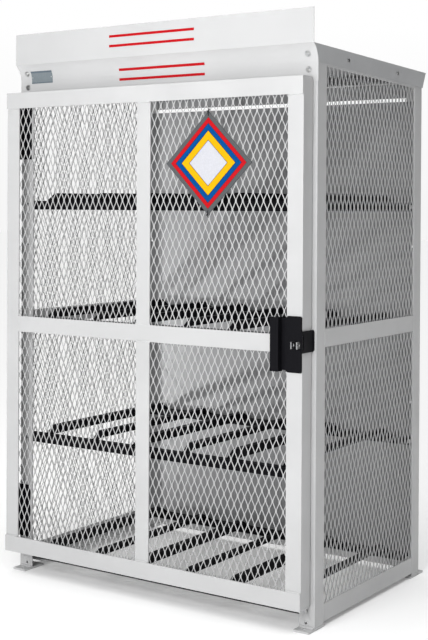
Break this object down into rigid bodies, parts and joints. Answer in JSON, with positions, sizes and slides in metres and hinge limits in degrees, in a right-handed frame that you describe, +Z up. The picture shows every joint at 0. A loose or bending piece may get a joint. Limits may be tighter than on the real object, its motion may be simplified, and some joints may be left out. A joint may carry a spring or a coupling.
{
  "type": "gas cylinder storage cage",
  "caption": "Storage cage for gas cylinders: angle-iron frame, expanded-metal door and sides, sloping roof with a sign header, shelves of cradle bars and a padlock slide latch.",
  "frame": {"origin": "middle of the footprint of the overall box, on the floor under the foot plates", "axes": "+X to the right seen from the front, +Y from the door to the back wall, +Z up"},
  "size_m": [1.1448, 0.7906, 1.748],
  "materials": {
    "frame_paint": "light grey powder coat, semi-gloss",
    "header_paint": "light grey powder coat on sheet, semi-gloss",
    "roof_paint": "grey powder coat, satin",
    "black_paint": "black powder coat, satin",
    "zinc": "bright zinc plate",
    "placard_paint": "grey printed plate, satin"
  },
  "bodies": {
    "cage": {"front_left_post": "frame_paint", "front_right_post": "frame_paint", "rear_left_post": "frame_paint", "rear_right_post": "frame_paint", "front_left_foot_plate": "frame_paint", "front_right_foot_plate": "frame_paint", "rear_left_foot_plate": "frame_paint", "rear_right_foot_plate": "frame_paint", "left_bottom_rail": "frame_paint", "left_mid_rail": "frame_paint", "left_top_rail": "frame_paint", "right_bottom_rail": "frame_paint", "right_mid_rail": "frame_paint", "right_top_rail": "frame_paint", "left_lower_mesh": "frame_paint", "left_upper_mesh": "frame_paint", "right_lower_mesh": "frame_paint", "right_upper_mesh": "frame_paint", "back_panel": "frame_paint", "back_bottom_rail": "frame_paint", "back_top_rail": "frame_paint", "roof_pan": "roof_paint", "roof_screws": "zinc", "header_panel": "header_paint", "header_bolts": "zinc", "shelf_1_front_rail": "black_paint", "shelf_1_rear_rail": "black_paint", "shelf_1_cradle_bars": "black_paint", "shelf_2_front_rail": "black_paint", "shelf_2_rear_rail": "black_paint", "shelf_2_cradle_bars": "black_paint", "shelf_3_front_rail": "black_paint", "shelf_3_rear_rail": "black_paint", "shelf_3_cradle_bars": "black_paint", "shelf_4_front_rail": "black_paint", "shelf_4_rear_rail": "black_paint", "shelf_4_cradle_bars": "black_paint", "shelf_bolts": "zinc", "lower_hinge_post_leaf": "black_paint", "lower_hinge_pin": "zinc", "upper_hinge_post_leaf": "black_paint", "upper_hinge_pin": "zinc", "latch_keeper": "black_paint"},
    "door": {"lower_hinge_door_leaf": "black_paint", "upper_hinge_door_leaf": "black_paint", "door_left_stile": "frame_paint", "door_right_stile": "frame_paint", "door_top_rail": "frame_paint", "door_bottom_rail": "frame_paint", "door_mid_rail": "frame_paint", "door_center_bars": "frame_paint", "door_lower_left_mesh": "frame_paint", "door_lower_right_mesh": "frame_paint", "door_upper_left_mesh": "frame_paint", "door_upper_right_mesh": "frame_paint", "latch_case": "black_paint", "case_padlock_ear": "zinc", "placard_plate": "placard_paint"},
    "latch": {"latch_slide": "black_paint", "slide_padlock_ear": "zinc"}
  },
  "joints": [
    {"name": "door_swing", "type": "hinge", "parent": "cage", "child": "door", "pos_m": [-0.56645, -0.3172, 0.8085], "axis": [0, 0, -1], "range_deg": [0, 180]},
    {"name": "latch_slide", "type": "slide", "parent": "door", "child": "latch", "axis": [1, 0, 0], "range_m": [0, 0.013]}
  ]
}
